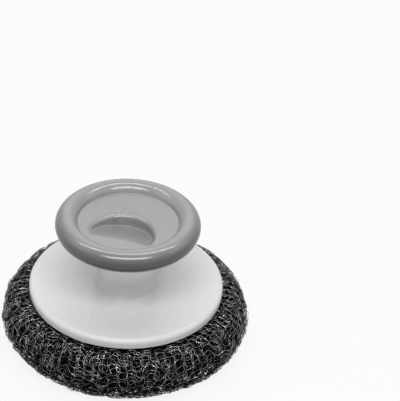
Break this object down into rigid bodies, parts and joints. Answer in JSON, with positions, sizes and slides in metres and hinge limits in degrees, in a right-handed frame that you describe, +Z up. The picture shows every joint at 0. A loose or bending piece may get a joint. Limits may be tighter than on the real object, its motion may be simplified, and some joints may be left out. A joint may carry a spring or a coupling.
{
  "type": "pot scrubber",
  "caption": "Palm-held pot scrubber: a dished knob with a finger scoop, a waisted neck and a round plate over a knitted steel-wire scouring pad held by a screw plug.",
  "frame": {"origin": "middle of the flat scrubbing face, on the knob's axis", "axes": "+Z up through the knob, -Y towards the side that the finger scoop opens to"},
  "size_m": [0.098, 0.098, 0.0558],
  "materials": {
    "knob_plastic": "satin grey moulding",
    "handle_plastic": "glossy white moulding",
    "wire_knit": "dark bright-drawn steel wire, knitted",
    "plain_steel": "plain stainless steel"
  },
  "bodies": {
    "handle": {"knob_cap": "knob_plastic", "handle_body": "handle_plastic", "knob_screw": "plain_steel"},
    "scourer_head": {"scourer_sleeve": "wire_knit", "scourer_filling": "wire_knit", "gather_ring": "plain_steel", "slip_washer": "plain_steel"},
    "plug": {"retaining_plug": "handle_plastic"}
  },
  "joints": [
    {"name": "head_drop", "type": "slide", "parent": "handle", "child": "scourer_head", "axis": [0, 0, -1], "range_m": [0, 0.008]},
    {"name": "plug_turn", "type": "hinge", "parent": "scourer_head", "child": "plug", "pos_m": [0, 0, 0.005], "axis": [0, 0, -1], "range_deg": [0, 721]}
  ],
  "couplings": [
    {"joint": "plug_turn", "follows": "head_drop", "rad_per_m": 1570.8}
  ]
}
